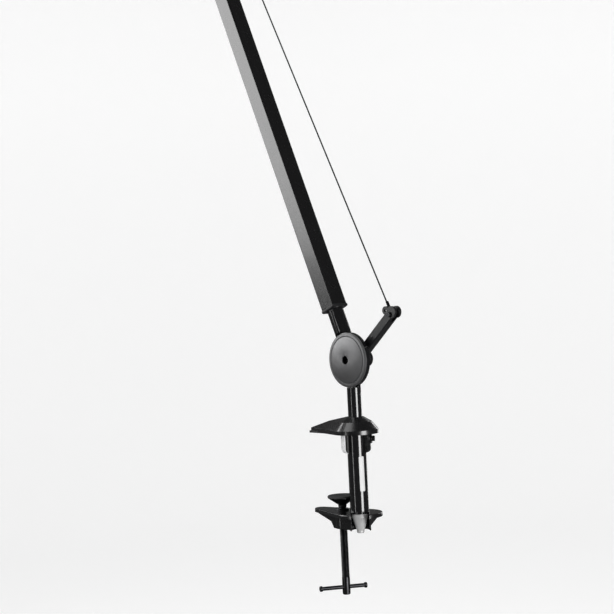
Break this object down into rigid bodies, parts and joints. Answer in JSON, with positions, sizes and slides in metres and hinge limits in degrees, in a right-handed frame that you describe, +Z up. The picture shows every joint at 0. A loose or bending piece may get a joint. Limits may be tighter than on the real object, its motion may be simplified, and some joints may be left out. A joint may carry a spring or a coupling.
{
  "type": "counterweight balance desk lamp",
  "caption": "Clamp-on balance desk lamp with a square tube arm, a cable-linked lever, a counterweighted upper arm and a tilting shade.",
  "frame": {"origin": "on the clamping screw's axis at the desk's top face, where the top jaw's pad rests", "axes": "+Z up, -X the way the jaws and the upper arm reach over the desk, joints turn about +Y"},
  "size_m": [0.8262, 0.16, 0.9571],
  "materials": {
    "black_gloss": "gloss black paint",
    "grey_cover": "satin dark grey",
    "lip_plastic": "satin black moulding",
    "bright_steel": "turned steel",
    "dark_steel": "blackened steel",
    "cable_steel": "fine wire rope",
    "washer_nylon": "nylon",
    "pad_rubber": "matt rubber",
    "shade_paint": "gloss black outside, pale inside",
    "holder_ceramic": "glazed white",
    "bulb_glass": "frosted",
    "button_plastic": "gloss"
  },
  "bodies": {
    "clamp": {"post_tube": "black_gloss", "stem_bushes": "washer_nylon", "top_jaw": "black_gloss", "top_jaw_pad": "pad_rubber", "pinch_collar": "black_gloss", "pinch_screw": "dark_steel", "edge_clip": "bright_steel", "lower_jaw": "black_gloss", "post_cone": "bright_steel", "thread_insert": "bright_steel", "post_screw": "bright_steel"},
    "pad": {"pad_cup": "dark_steel", "pad_face": "pad_rubber"},
    "spindle": {"clamp_spindle": "black_gloss"},
    "tommy_bar": {"tommy_bar": "black_gloss"},
    "stem": {"stem": "black_gloss", "base_pivot_pin": "bright_steel", "base_cap_nut": "dark_steel", "base_washers": "washer_nylon"},
    "lower_arm": {"lower_arm_hub": "black_gloss", "lower_arm_tube": "black_gloss", "lower_arm_lips": "lip_plastic", "elbow_hub": "black_gloss", "base_cover": "grey_cover", "elbow_cover": "grey_cover"},
    "lever": {"cable_lever": "black_gloss", "lever_cable_pin": "bright_steel"},
    "cable": {"tension_cable": "cable_steel", "cable_eyes": "cable_steel"},
    "upper_arm": {"upper_arm_hub": "black_gloss", "upper_arm_tube": "black_gloss", "tail_lever": "black_gloss", "tail_cable_pin": "bright_steel", "elbow_pivot_pin": "bright_steel", "elbow_cap_nut": "dark_steel", "elbow_washers": "washer_nylon", "tail_rod": "bright_steel", "tail_stop": "dark_steel", "head_swivel_plug": "lip_plastic"},
    "counterweight": {"counterweight": "black_gloss", "counterweight_screw": "dark_steel"},
    "head_knuckle": {"head_knuckle": "black_gloss", "tilt_pin": "bright_steel", "tilt_wing_nut": "dark_steel"},
    "head": {"socket_cap": "black_gloss", "shade": "shade_paint", "lampholder": "holder_ceramic", "bulb": "bulb_glass", "switch_bezel": "lip_plastic"},
    "switch_button": {"switch_button": "button_plastic"}
  },
  "joints": [
    {"name": "clamp_travel", "type": "slide", "parent": "clamp", "child": "pad", "axis": [0, 0, 1], "range_m": [-0.0015, 0.04]},
    {"name": "spindle_turn", "type": "hinge", "parent": "pad", "child": "spindle", "pos_m": [0, 0, -0.0738], "axis": [0, 0, 1], "range_deg": [-468, 11556]},
    {"name": "tommy_bar_slide", "type": "slide", "parent": "spindle", "child": "tommy_bar", "axis": [0.4617, 0.887, 0], "range_m": [-0.0135, 0.0195]},
    {"name": "stem_swivel", "type": "hinge", "parent": "clamp", "child": "stem", "pos_m": [0.0255, 0, 0], "axis": [0, 0, 1], "range_deg": [-175, 175]},
    {"name": "base_tilt", "type": "hinge", "parent": "stem", "child": "lower_arm", "pos_m": [0.0255, 0, 0.0735], "axis": [0, 1, 0], "range_deg": [-36, 34]},
    {"name": "lever_turn", "type": "hinge", "parent": "lower_arm", "child": "lever", "pos_m": [0.0255, 0, 0.0735], "axis": [0, 1, 0], "range_deg": [-19, 11]},
    {"name": "cable_swing", "type": "hinge", "parent": "lever", "child": "cable", "pos_m": [0.07667, 0, 0.11675], "axis": [0, 1, 0], "range_deg": [-11, 19]},
    {"name": "elbow_tilt", "type": "hinge", "parent": "lower_arm", "child": "upper_arm", "pos_m": [-0.21854, 0, 0.62163], "axis": [0, 1, 0], "range_deg": [-35, 10]},
    {"name": "counterweight_slide", "type": "slide", "parent": "upper_arm", "child": "counterweight", "axis": [-0.9397, 0, 0.342], "range_m": [-0.009, 0.03]},
    {"name": "head_swivel", "type": "hinge", "parent": "upper_arm", "child": "head_knuckle", "pos_m": [-0.63201, 0, 0.77212], "axis": [-0.9397, 0, 0.342], "range_deg": [-90, 90]},
    {"name": "head_tilt", "type": "hinge", "parent": "head_knuckle", "child": "head", "pos_m": [-0.66114, 0, 0.78272], "axis": [0, 1, 0], "range_deg": [-20, 75]},
    {"name": "switch_press", "type": "slide", "parent": "head", "child": "switch_button", "axis": [-1, 0, 0], "range_m": [0, 0.002], "stiffness_N_per_m": 400}
  ],
  "couplings": [
    {"joint": "spindle_turn", "follows": "clamp_travel", "rad_per_m": 5026.6},
    {"joint": "lever_turn", "follows": "elbow_tilt", "ratio": 0.4474},
    {"joint": "cable_swing", "follows": "elbow_tilt", "ratio": -0.445}
  ]
}
